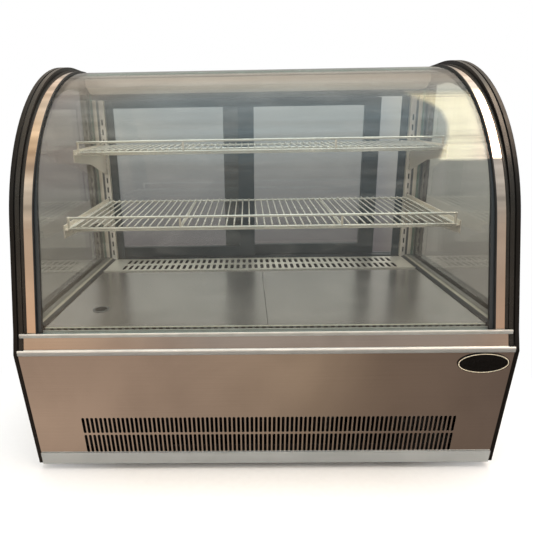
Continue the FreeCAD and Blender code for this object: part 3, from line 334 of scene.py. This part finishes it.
def moulded_plastic(name, dark, light, smooth, rough, grain_scale=1400, grain=0.12, edge=0.0006, gloss=0.5):
    """Moulded plastic: fine leather grain, handling sheen and a little dust in its colour."""
    finish = Finish(name, edge, Specular_IOR_Level=gloss)
    cloud = finish.noise(9, 4, distortion=0.4)
    finish.set("Base Color", finish.ramp(cloud, (0.35, dark), (0.70, light)))
    finish.set("Roughness", finish.between(finish.noise(26, 5), smooth, rough))
    finish.set("Normal", finish.bump(finish.noise(grain_scale, 2), grain, 0.0004))
    return finish.material


def brushed_metal(name, dark, light, smooth, rough, along, metallic=1.0, ripple=0.0, line=0.10, edge=0.0004):
    """Metal with fine brushing lines along one axis, soft smudges and, in sheet, a slight ripple."""
    finish = Finish(name, edge, Metallic=metallic)
    scale = {"x": (6, 1500, 1500), "y": (1500, 6, 1500), "z": (1500, 1500, 6)}[along]
    lines = finish.noise(1, 3, finish.stretched(*scale))
    smudge = finish.noise(5, 5, distortion=0.8)
    blend = finish.math("MULTIPLY_ADD", lines, 0.25, finish.math("MULTIPLY", smudge, 0.75))
    finish.set("Base Color", finish.ramp(blend, (0.38, dark), (0.62, light)))
    finish.set("Roughness", finish.between(blend, smooth, rough, 0.4, 0.6))
    normal = finish.bump(lines, line, 0.0001)
    if ripple:
        normal = finish.bump(finish.noise(3.5, 1), ripple, 0.02, normal)
    finish.set("Normal", normal)
    return finish.material


def painted_light_bands(name, axis, stops, smooth, rough, metallic=0.0):
    """Strip in bands of colour by the height, or on axis X by the distance from the middle, in metres. The
    bands paint highlights and shade onto small steps, lips and gaps that are not modelled.
    """
    finish = Finish(name, 0.0004, Metallic=metallic)
    along = finish.math("ABSOLUTE", finish.add("SeparateXYZ", Vector=finish.place).outputs[axis])
    first, last = stops[0][0], stops[-1][0]
    share = finish.between(along, 0, 1, first, last)
    colour = finish.ramp(share, *(((place - first) / (last - first), tone) for place, tone in stops))
    worn = finish.ramp(finish.noise(30, 5), (0.35, grey(0.86)), (0.65, WHITE))
    finish.set("Base Color", finish.multiply(colour, worn))
    finish.set("Roughness", finish.between(finish.noise(60, 4), smooth, rough))
    finish.set("Normal", finish.bump(finish.noise(900, 2), 0.1, 0.0003))
    return finish.material


def painted_metal(name, dark, light, smooth, rough, peel=0.12, edge=0.0005):
    """Powder coat or enamel: orange peel and faint colour drift."""
    finish = Finish(name, edge)
    finish.set("Base Color", finish.ramp(finish.noise(6, 4), (0.35, dark), (0.65, light)))
    finish.set("Roughness", finish.between(finish.noise(40, 4), smooth, rough))
    finish.set("Normal", finish.bump(finish.noise(700, 2), peel, 0.0005))
    return finish.material


def pane_glass(name, tint, smear, border=False):
    """Flat or bent pane: clear with a Fresnel reflection on both faces, faint wipe marks and, on the front
    glass, a black enamelled border at both ends that widens towards the foot."""
    material = bpy.data.materials.new(name)
    material.use_nodes = True
    tree = Tree(material.node_tree, "ShaderNodeOutputMaterial")
    inside = tree.add("NewGeometry").outputs["Backfacing"]
    glass_index = 1.5
    index = tree.math("MULTIPLY_ADD", inside, 1 / glass_index - glass_index, glass_index)
    mirror = tree.add("Fresnel", IOR=index).outputs[0]
    clear = tree.add("BsdfTransparent", Color=(*tint, 1))
    gloss = tree.add("BsdfGlossy", Color=(0.97, 0.98, 0.98, 1), Roughness=0.015)
    pane = tree.blend(mirror, clear, gloss)
    place = tree.add("TexCoord").outputs["Object"]
    stroke = tree.add("Mapping", Vector=place)
    stroke.inputs["Scale"].default_value = (1.0, 1.0, 4.0)
    stroke.inputs["Rotation"].default_value = (0, math.radians(24), 0)
    wipe = tree.add("TexNoise", Vector=stroke.outputs[0], Scale=9.0, Detail=6.0, Distortion=1.2).outputs[0]
    film = tree.between(wipe, 0.004, smear, 0.46, 0.80)
    dust = tree.add("BsdfDiffuse", Color=(0.80, 0.82, 0.80, 1))
    surface = tree.blend(film, pane, dust)
    if border:
        split = tree.add("SeparateXYZ", Vector=place)
        wide, narrow = 0.4008, 0.4074
        start = tree.between(split.outputs["Z"], wide, narrow, 0.48, 0.64)
        printed = tree.math("GREATER_THAN", tree.math("ABSOLUTE", split.outputs["X"]), start)
        enamel = tree.add("BsdfPrincipled", Base_Color=(0.028, 0.035, 0.040, 1), Roughness=0.14)
        surface = tree.blend(printed, surface, enamel)
    tree.feed(tree.output.inputs["Surface"], surface.outputs[0])
    return material


def glass_edge():
    """The ground edge of a pane: sea green and satin."""
    finish = Finish("glass_edge", Roughness=0.22, IOR=1.5)
    tone = finish.noise(60, 3)
    finish.set("Base Color", finish.ramp(tone, (0.3, (0.05, 0.14, 0.125)), (0.7, (0.10, 0.23, 0.20))))
    finish.set("Normal", finish.bump(finish.noise(900, 2), 0.2, 0.0003))
    return finish.material


def make_finishes():
    """Materials by name. Those of the record's slots come first, then those of single nodes or faces."""
    made = (
        moulded_plastic("black_moulding", (0.0025, 0.0025, 0.0025), (0.005, 0.0048, 0.0045), 0.30, 0.40,
                        edge=0.0015, gloss=0.35),
        painted_metal("painted_sheet", (0.022, 0.022, 0.024), (0.034, 0.034, 0.036), 0.38, 0.50),
        pane_glass("clear_glass", (0.960, 0.972, 0.964), 0.035),
        pane_glass("bordered_glass", (0.960, 0.972, 0.964), 0.035, border=True),
        brushed_metal("polished_steel", (0.70, 0.665, 0.635), (0.80, 0.765, 0.735), 0.03, 0.08, "x",
                      ripple=0.02, line=0.01),
        brushed_metal("rail_steel", (0.40, 0.435, 0.445), (0.50, 0.535, 0.545), 0.36, 0.48, "x",
                      metallic=0.3),
        moulded_plastic("black_rubber", (0.010, 0.011, 0.012), (0.020, 0.021, 0.022), 0.40, 0.55, 500),
        brushed_metal("shelf_wire", (0.70, 0.70, 0.64), (0.84, 0.84, 0.77), 0.18, 0.30, "x", metallic=0.55,
                      line=0.02, edge=0.0002),
        moulded_plastic("door_plastic", (0.025, 0.039, 0.050), (0.035, 0.052, 0.065), 0.34, 0.48),
        painted_metal("lamp_body", (0.50, 0.48, 0.45), (0.58, 0.56, 0.53), 0.30, 0.42),
        painted_metal("lamp_lens", (0.62, 0.60, 0.56), (0.70, 0.68, 0.64), 0.35, 0.50, 0.05),
        moulded_plastic("tub_plastic", (0.035, 0.037, 0.038), (0.055, 0.057, 0.058), 0.40, 0.55, 600),
        brushed_metal("fin_aluminium", (0.60, 0.61, 0.62), (0.74, 0.75, 0.76), 0.30, 0.45, "z"),
        brushed_metal("zinc_sheet", (0.07, 0.072, 0.075), (0.13, 0.132, 0.135), 0.42, 0.58, "y"),
        moulded_plastic("fan_plastic", (0.014, 0.014, 0.015), (0.026, 0.026, 0.027), 0.32, 0.46),
        painted_metal("compressor_paint", (0.010, 0.010, 0.010), (0.018, 0.018, 0.018), 0.12, 0.25, 0.2),
        brushed_metal("copper_tube", (0.50, 0.22, 0.11), (0.78, 0.42, 0.25), 0.20, 0.42, "z"),
        moulded_plastic("control_plastic", (0.020, 0.020, 0.021), (0.032, 0.032, 0.033), 0.36, 0.48),
        moulded_plastic("nameplate_plate", (0.002, 0.002, 0.002), (0.004, 0.004, 0.004), 0.22, 0.30,
                        gloss=0.25),
        # Deck plates: a darker copy of the steel; its low tone is painted shade.
        brushed_metal("deck_steel_painted_shade", (0.41, 0.41, 0.405), (0.47, 0.47, 0.465), 0.22, 0.27, "y", metallic=0.85,
                      ripple=0.003, line=0.01),
        brushed_metal("grille_steel", (0.66, 0.66, 0.61), (0.76, 0.76, 0.71), 0.30, 0.42, "x", metallic=0.6),
        moulded_plastic("rim_rubber", (0.010, 0.010, 0.009), (0.020, 0.019, 0.017), 0.22, 0.32),
        # Sill gasket: dark rubber tones, with one light band across it that is a painted highlight on a step
        # that is not modelled.
        painted_light_bands("sill_gasket_painted_light", "X", ((0.3990, (0.014, 0.020, 0.025)), (0.4070, (0.020, 0.027, 0.032)),
                                    (0.4085, (0.34, 0.33, 0.28)), (0.4120, (0.28, 0.28, 0.24)),
                                    (0.4135, (0.11, 0.115, 0.105)), (0.4250, (0.09, 0.095, 0.09))),
               0.36, 0.50),
        # Corner posts: the bright lines are painted highlights on edges and the dark band is painted shade in
        # a gap.
        painted_light_bands("post_painted_light", "X", ((0.3960, (0.86, 0.84, 0.76)), (0.3985, (0.76, 0.75, 0.73)),
                                      (0.4090, (0.68, 0.68, 0.67)), (0.4105, (0.09, 0.10, 0.11)),
                                      (0.4150, (0.09, 0.10, 0.11)), (0.4165, (0.82, 0.80, 0.73)),
                                      (0.4290, (0.62, 0.61, 0.56))),
               0.30, 0.42, metallic=0.3),
        # Sill channel: the bright top line is a painted highlight and the darker face below it is painted
        # shade.
        painted_light_bands("sill_trim_painted_light", "Z", ((0.2985, (0.40, 0.42, 0.41)), (0.3030, (0.46, 0.48, 0.47)),
                                  (0.3038, (0.78, 0.77, 0.73)), (0.3053, (0.84, 0.83, 0.79))),
               0.28, 0.40, metallic=0.4),
        # Knee trim: the dark bottom line is a painted shadow and the bright top line is a painted highlight.
        painted_light_bands("knee_trim_painted_light", "Z", ((0.2670, (0.20, 0.21, 0.21)), (0.2682, (0.33, 0.345, 0.345)),
                                  (0.2735, (0.39, 0.405, 0.405)), (0.2745, (0.80, 0.79, 0.75)),
                                  (0.2770, (0.86, 0.85, 0.81))),
               0.28, 0.40, metallic=0.4),
        # Front air strip: the bright top line is a painted highlight over a darker face.
        painted_light_bands("riser_painted_highlight", "Z", ((0.2990, (0.20, 0.22, 0.22)), (0.3070, (0.26, 0.28, 0.27)),
                                    (0.3076, (0.84, 0.83, 0.72)), (0.3088, (0.88, 0.87, 0.76))),
               0.30, 0.42, metallic=0.5),
        brushed_metal("drain_steel", (0.10, 0.12, 0.13), (0.18, 0.20, 0.21), 0.28, 0.40, "x", metallic=0.6),
        brushed_metal("bracket_steel", (0.62, 0.59, 0.53), (0.74, 0.71, 0.64), 0.30, 0.42, "y", metallic=0.3),
        # Mirror strips and front band: copies of the polished steel tinted warmer, and darker for the band;
        # the tint is a painted warm reflection.
        brushed_metal("strip_steel_painted_reflection", (0.74, 0.655, 0.59), (0.84, 0.75, 0.68), 0.03, 0.08, "z", ripple=0.012,
                      line=0.008),
        brushed_metal("band_steel_painted_reflection", (0.60, 0.555, 0.525), (0.70, 0.65, 0.61), 0.04, 0.09, "x", ripple=0.015,
                      line=0.01),
        brushed_metal("gilt", (0.78, 0.71, 0.54), (0.90, 0.84, 0.68), 0.22, 0.36, "x", metallic=0.3),
        brushed_metal("screw_zinc", (0.50, 0.51, 0.52), (0.66, 0.67, 0.68), 0.26, 0.40, "x"),
        moulded_plastic("mark_ink", (0.62, 0.62, 0.60), (0.72, 0.72, 0.70), 0.40, 0.50, 500, 0.05),
        # Condenser coil: near-black enamel, made this dark to stand in for the shade seen through the vent
        # slots.
        painted_metal("coil_enamel_and_shade", (0.012, 0.012, 0.012), (0.022, 0.022, 0.021), 0.35, 0.5),
        glass_edge(),
    )
    return {material.name.split(".")[0]: material for material in made}


# ---------------------------------------------------------------- finishes on the CAD nodes

# Several own finishes here paint light and shade into colour: the bands on the trims, riser, posts and
# gaskets, the warm tints of the mirror strips and front band, the darkened deck and the near-black condenser
# coil.
NODE_FINISH = {
    "deck_plate_left": "deck_steel_painted_shade", "deck_plate_right": "deck_steel_painted_shade", "rear_air_grille": "grille_steel",
    "front_air_strip": "riser_painted_highlight", "condenser_coil": "coil_enamel_and_shade", "front_glass": "bordered_glass",
    "mirror_strip_left": "strip_steel_painted_reflection", "mirror_strip_right": "strip_steel_painted_reflection", "front_band": "band_steel_painted_reflection",
    "drain_strainer": "drain_steel", "sill_channel": "sill_trim_painted_light", "knee_trim": "knee_trim_painted_light",
    "corner_post_left": "post_painted_light", "corner_post_right": "post_painted_light",
}


def facet(node, finish, chosen):
    """Gives the faces that chosen(centre, normal) picks a second finish. Centres are in millimetres."""
    mesh = NODES[node].data
    mesh.materials.append(FINISHES[finish])
    second = len(mesh.materials) - 1
    for polygon in mesh.polygons:
        if chosen(polygon.center * MM_PER_M, polygon.normal):
            polygon.material_index = second


def dress_cad_nodes():
    """Gives every CAD node the finish of the slot that the record names for it, or one of its own."""
    for name, obj in NODES.items():
        slot = obj.data.materials[0].name.split(".")[0]
        own = "bracket_steel" if name.startswith("shelf_bracket") else NODE_FINISH.get(name, slot)
        obj.data.materials[0] = FINISHES[own]
    facet("front_glass", "glass_edge",
          lambda centre, normal: abs(normal.x) > 0.9 or centre.z < 301.5 or centre.y > 152)
    for side in ("left", "right"):
        facet(f"side_glass_{side}", "glass_edge", lambda centre, normal: abs(normal.x) < 0.5)
        facet(f"door_{side}_glass", "glass_edge", lambda centre, normal: abs(normal.y) < 0.5)
        facet(f"glass_seal_{side}", "rim_rubber", lambda centre, normal: abs(centre.x) > 426)
        # the gasket's upward faces take the sill gasket bands, with their painted highlight
        facet(f"sill_seal_{side}", "sill_gasket_painted_light", lambda centre, normal: normal.z > 0.3)
        facet(f"end_cap_{side}", "rim_rubber",
              lambda centre, normal: abs(normal.x) < 0.2 and abs(centre.x) < 440 and centre.z > 268)


# ---------------------------------------------------------------- small fittings

def new_piece(name, build, body, finish):
    """A mesh piece made by build(bm), which rides on a body and takes the finish named for it."""
    mesh = bpy.data.meshes.new(name)
    bm = bmesh.new()
    build(bm)
    bmesh.ops.recalc_face_normals(bm, faces=bm.faces)
    for face in bm.faces:
        face.smooth = True
    bm.to_mesh(mesh)
    bm.free()
    mesh.set_sharp_from_angle(angle=math.radians(35))
    piece = bpy.data.objects.new(name, mesh)
    bpy.context.scene.collection.objects.link(piece)
    mesh.materials.append(FINISHES[finish])
    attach(piece, body)
    return piece


def loft(bm, rings):
    """Skins closed rings of equal length, one after another, and caps the first and the last."""
    rows = [[bm.verts.new(point) for point in ring] for ring in rings]
    for lower, upper in zip(rows, rows[1:]):
        for at in range(len(lower)):
            after = (at + 1) % len(lower)
            bm.faces.new((lower[at], lower[after], upper[after], upper[at]))
    bm.faces.new(rows[0][::-1])
    bm.faces.new(rows[-1])


def oval(across, up, count):
    return [(across * math.cos(math.tau * at / count), up * math.sin(math.tau * at / count))
            for at in range(count)]


def bar_outline(length, width):
    """A bar with round ends, along the second axis from 0 to length."""
    turn = [math.pi * at / 6 for at in range(7)]
    half = width / 2
    top = [(half * math.cos(angle), length - half + half * math.sin(angle)) for angle in turn]
    foot = [(-half * math.cos(angle), half - half * math.sin(angle)) for angle in turn]
    return top + foot


def raised(bm, outline, place, height, ease=0.25):
    """A low raised form: the outline stands up from place(u, v, lift), with an eased upper edge."""
    middle = Vector([sum(values) / len(outline) for values in zip(*outline)])
    rings = []
    for shrink, lift in ((0, -0.3), (0, 1 - ease), (0.3 * ease, 1 - 0.3 * ease), (ease, 1)):
        ring = []
        for point in outline:
            inward = middle - Vector(point)
            inset = min(shrink * height / max(inward.length, 1e-6), 0.6)
            ring.append(place(*(Vector(point) + inward * inset), lift * height))
        rings.append(ring)
    loft(bm, rings)


def half_round(bm, path, outward, normal, half_width, height, steps=6):
    """A half-round bead along a closed path. outward and normal give its two directions at each point."""
    rows = []
    for point, side in zip(path, outward):
        row = []
        for step in range(steps + 1):
            angle = math.pi * step / steps
            row.append(bm.verts.new(point + side * half_width * math.cos(angle)
                                    + normal * (height * math.sin(angle) - 0.0001)))
        rows.append(row)
    for row, after in zip(rows, rows[1:] + rows[:1]):
        for step in range(steps):
            bm.faces.new((row[step], row[step + 1], after[step + 1], after[step]))
        bm.faces.new((row[steps], row[0], after[0], after[steps]))


def flat_face(node, chosen):
    """Centre and outward direction of the largest face of a node that chosen(face) picks."""
    faces = [polygon for polygon in NODES[node].data.polygons if chosen(polygon)]
    largest = max(faces, key=lambda polygon: polygon.area)
    return largest.center.copy(), largest.normal.normalized()


def nameplate_rim():
    """Gilt half-round rim, set a little inside the edge of the blank oval nameplate, on its sloped face."""
    inset_x, inset_z, half_width, height = 0.955, 0.91, 0.00085, 0.00045
    centre, normal = flat_face("nameplate", lambda polygon: polygon.normal.y < -0.5)
    low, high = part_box("nameplate")
    middle_x, middle_z = (low[0] + high[0]) / 2, (low[2] + high[2]) / 2
    half_x, half_z = (high[0] - low[0]) / 2 * inset_x, (high[2] - low[2]) / 2 * inset_z
    path, outward = [], []
    for across, up in oval(1, 1, 96):
        x, z = middle_x + half_x * across, middle_z + half_z * up
        y = centre.y - (normal.x * (x - centre.x) + normal.z * (z - centre.z)) / normal.y
        path.append(Vector((x, y, z)))
        outward.append(Vector((across / half_x, 0, up / half_z)).normalized())
    new_piece("nameplate_rim", lambda bm: half_round(bm, path, outward, normal, half_width, height),
              "root", "gilt")


def screw_head(bm, place, radius=0.0036, height=0.0019):
    """Pan head with a cross recess. place(u, v, lift) maps the head's own axes to the part."""
    arm, half = radius * 0.52, radius * 0.13
    circle = oval(1, 1, 16)
    cross = []
    for quarter in range(4):
        turn = Matrix.Rotation(math.tau * quarter / 4, 2)
        cross += [turn @ Vector(point) for point in ((arm, 0), (arm, half), (half, half), (half, arm))]
    rings = [[(radius * u, radius * v, -0.2 * height) for u, v in circle]]
    for scale, lift in ((1.0, 0.10), (0.97, 0.42), (0.84, 0.78), (0.62, 0.97)):
        rings.append([(radius * scale * u, radius * scale * v, height * lift) for u, v in circle])
    rings.append([(point.x, point.y, height) for point in cross])
    rings.append([(point.x * 0.75, point.y * 0.75, height * 0.35) for point in cross])
    loft(bm, [[place(*point) for point in ring] for ring in rings])


def cover_screws():
    """Pan-head screws along the edges of the rear cover and of both side sheets."""
    low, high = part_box("rear_panel")
    inset = 0.009
    side_front, side_rear, side_ends = 0.034, 0.030, 0.028

    def on_rear(x, z):
        return lambda u, v, lift: (x + u, high[1] + lift, z + v)

    def build_rear(bm):
        for x in (low[0] + inset, high[0] - inset):
            for z in (low[2] + inset, (low[2] + high[2]) / 2, high[2] - inset):
                screw_head(bm, on_rear(x, z))
        for share in (0.28, 0.52):
            screw_head(bm, on_rear(low[0] + (high[0] - low[0]) * share, high[2] - inset))
            screw_head(bm, on_rear(low[0] + (high[0] - low[0]) * share, low[2] + inset))

    new_piece("rear_panel_screws", build_rear, "root", "screw_zinc")
    for side, sign in (("left", -1), ("right", 1)):
        low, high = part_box(f"side_panel_{side}")
        face = high[0] if sign > 0 else low[0]

        def on_side(y, z):
            return lambda u, v, lift: (face + sign * lift, y + u, z + v)

        def build_side(bm):
            for y in (low[1] + side_front, high[1] - side_rear):
                for z in (low[2] + side_ends, high[2] - side_ends):
                    screw_head(bm, on_side(y, z))

        new_piece(f"side_panel_screws_{side}", build_side, "root", "screw_zinc")


def dial_marks():
    """Scale round the thermostat knob, with marks that grow longer clockwise, and the knob's pointer line."""
    marks, sweep, relief = 9, 270, 0.0003
    low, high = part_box("thermostat_knob")
    middle_x, middle_z, radius = (low[0] + high[0]) / 2, (low[2] + high[2]) / 2, (high[0] - low[0]) / 2

    def under_knob(polygon):
        return (polygon.normal.y > 0.9 and polygon.center.y < high[1] - 0.01
                and abs(polygon.center.z - middle_z) < 0.03)

    face = flat_face("control_box", under_knob)[0].y

    def build_scale(bm):
        for mark in range(marks):
            angle = math.radians(-sweep / 2 + sweep * mark / (marks - 1))
            away = Vector((-math.sin(angle), math.cos(angle)))
            side = Vector((math.cos(angle), math.sin(angle)))
            start, length = radius + 0.0022, 0.0016 + 0.0003 * mark

            def place(u, v, lift):
                spot = side * u + away * (start + v)
                return (middle_x + spot.x, face + lift, middle_z + spot.y)

            raised(bm, bar_outline(length, 0.0009), place, relief)

    new_piece("thermostat_scale", build_scale, "root", "mark_ink")

    def build_pointer(bm):
        foot = middle_z + 0.004
        raised(bm, bar_outline(0.0075, 0.0011),
               lambda u, v, lift: (middle_x + u, high[1] + lift, foot + v), relief)

    new_piece("thermostat_pointer", build_pointer, "thermostat_dial", "mark_ink")


def rocker_marks():
    """The on line and the off ring on each rocker's two faces."""
    line_length, ring_radius, relief = 0.0040, 0.0019, 0.0002
    for body, node in (("power_rocker", "power_switch"), ("light_rocker", "light_switch")):
        low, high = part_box(node)
        middle = (low[2] + high[2]) / 2
        centre, normal = flat_face(node, lambda polygon: polygon.normal.y > 0.8 and polygon.center.z > middle)
        rise = normal.cross(Vector((-1, 0, 0))).normalized()

        def build_line(bm):
            raised(bm, bar_outline(line_length, 0.0008), lambda u, v, lift: centre + Vector((u, 0, 0))
                   + rise * (v - line_length / 2) + normal * lift, relief)

        new_piece(f"{body}_on_line", build_line, body, "mark_ink")
        spot, facing = flat_face(node, lambda polygon: polygon.normal.y > 0.8 and polygon.center.z < middle)
        up = facing.cross(Vector((-1, 0, 0))).normalized()
        outward = [Vector((across, 0, 0)) + up * high_up for across, high_up in oval(1, 1, 32)]
        path = [spot + side * ring_radius for side in outward]
        new_piece(f"{body}_off_ring", lambda bm: half_round(bm, path, outward, facing, 0.00035, relief),
                  body, "mark_ink")


make_camera()
make_world()
make_lights()
make_floor()
FINISHES = make_finishes()
dress_cad_nodes()
nameplate_rim()
cover_screws()
dial_marks()
rocker_marks()

bpy.context.scene.view_settings.view_transform = "Standard"
bpy.context.scene.cycles.transparent_max_bounces = 32
bpy.context.scene.cycles.max_bounces = 10
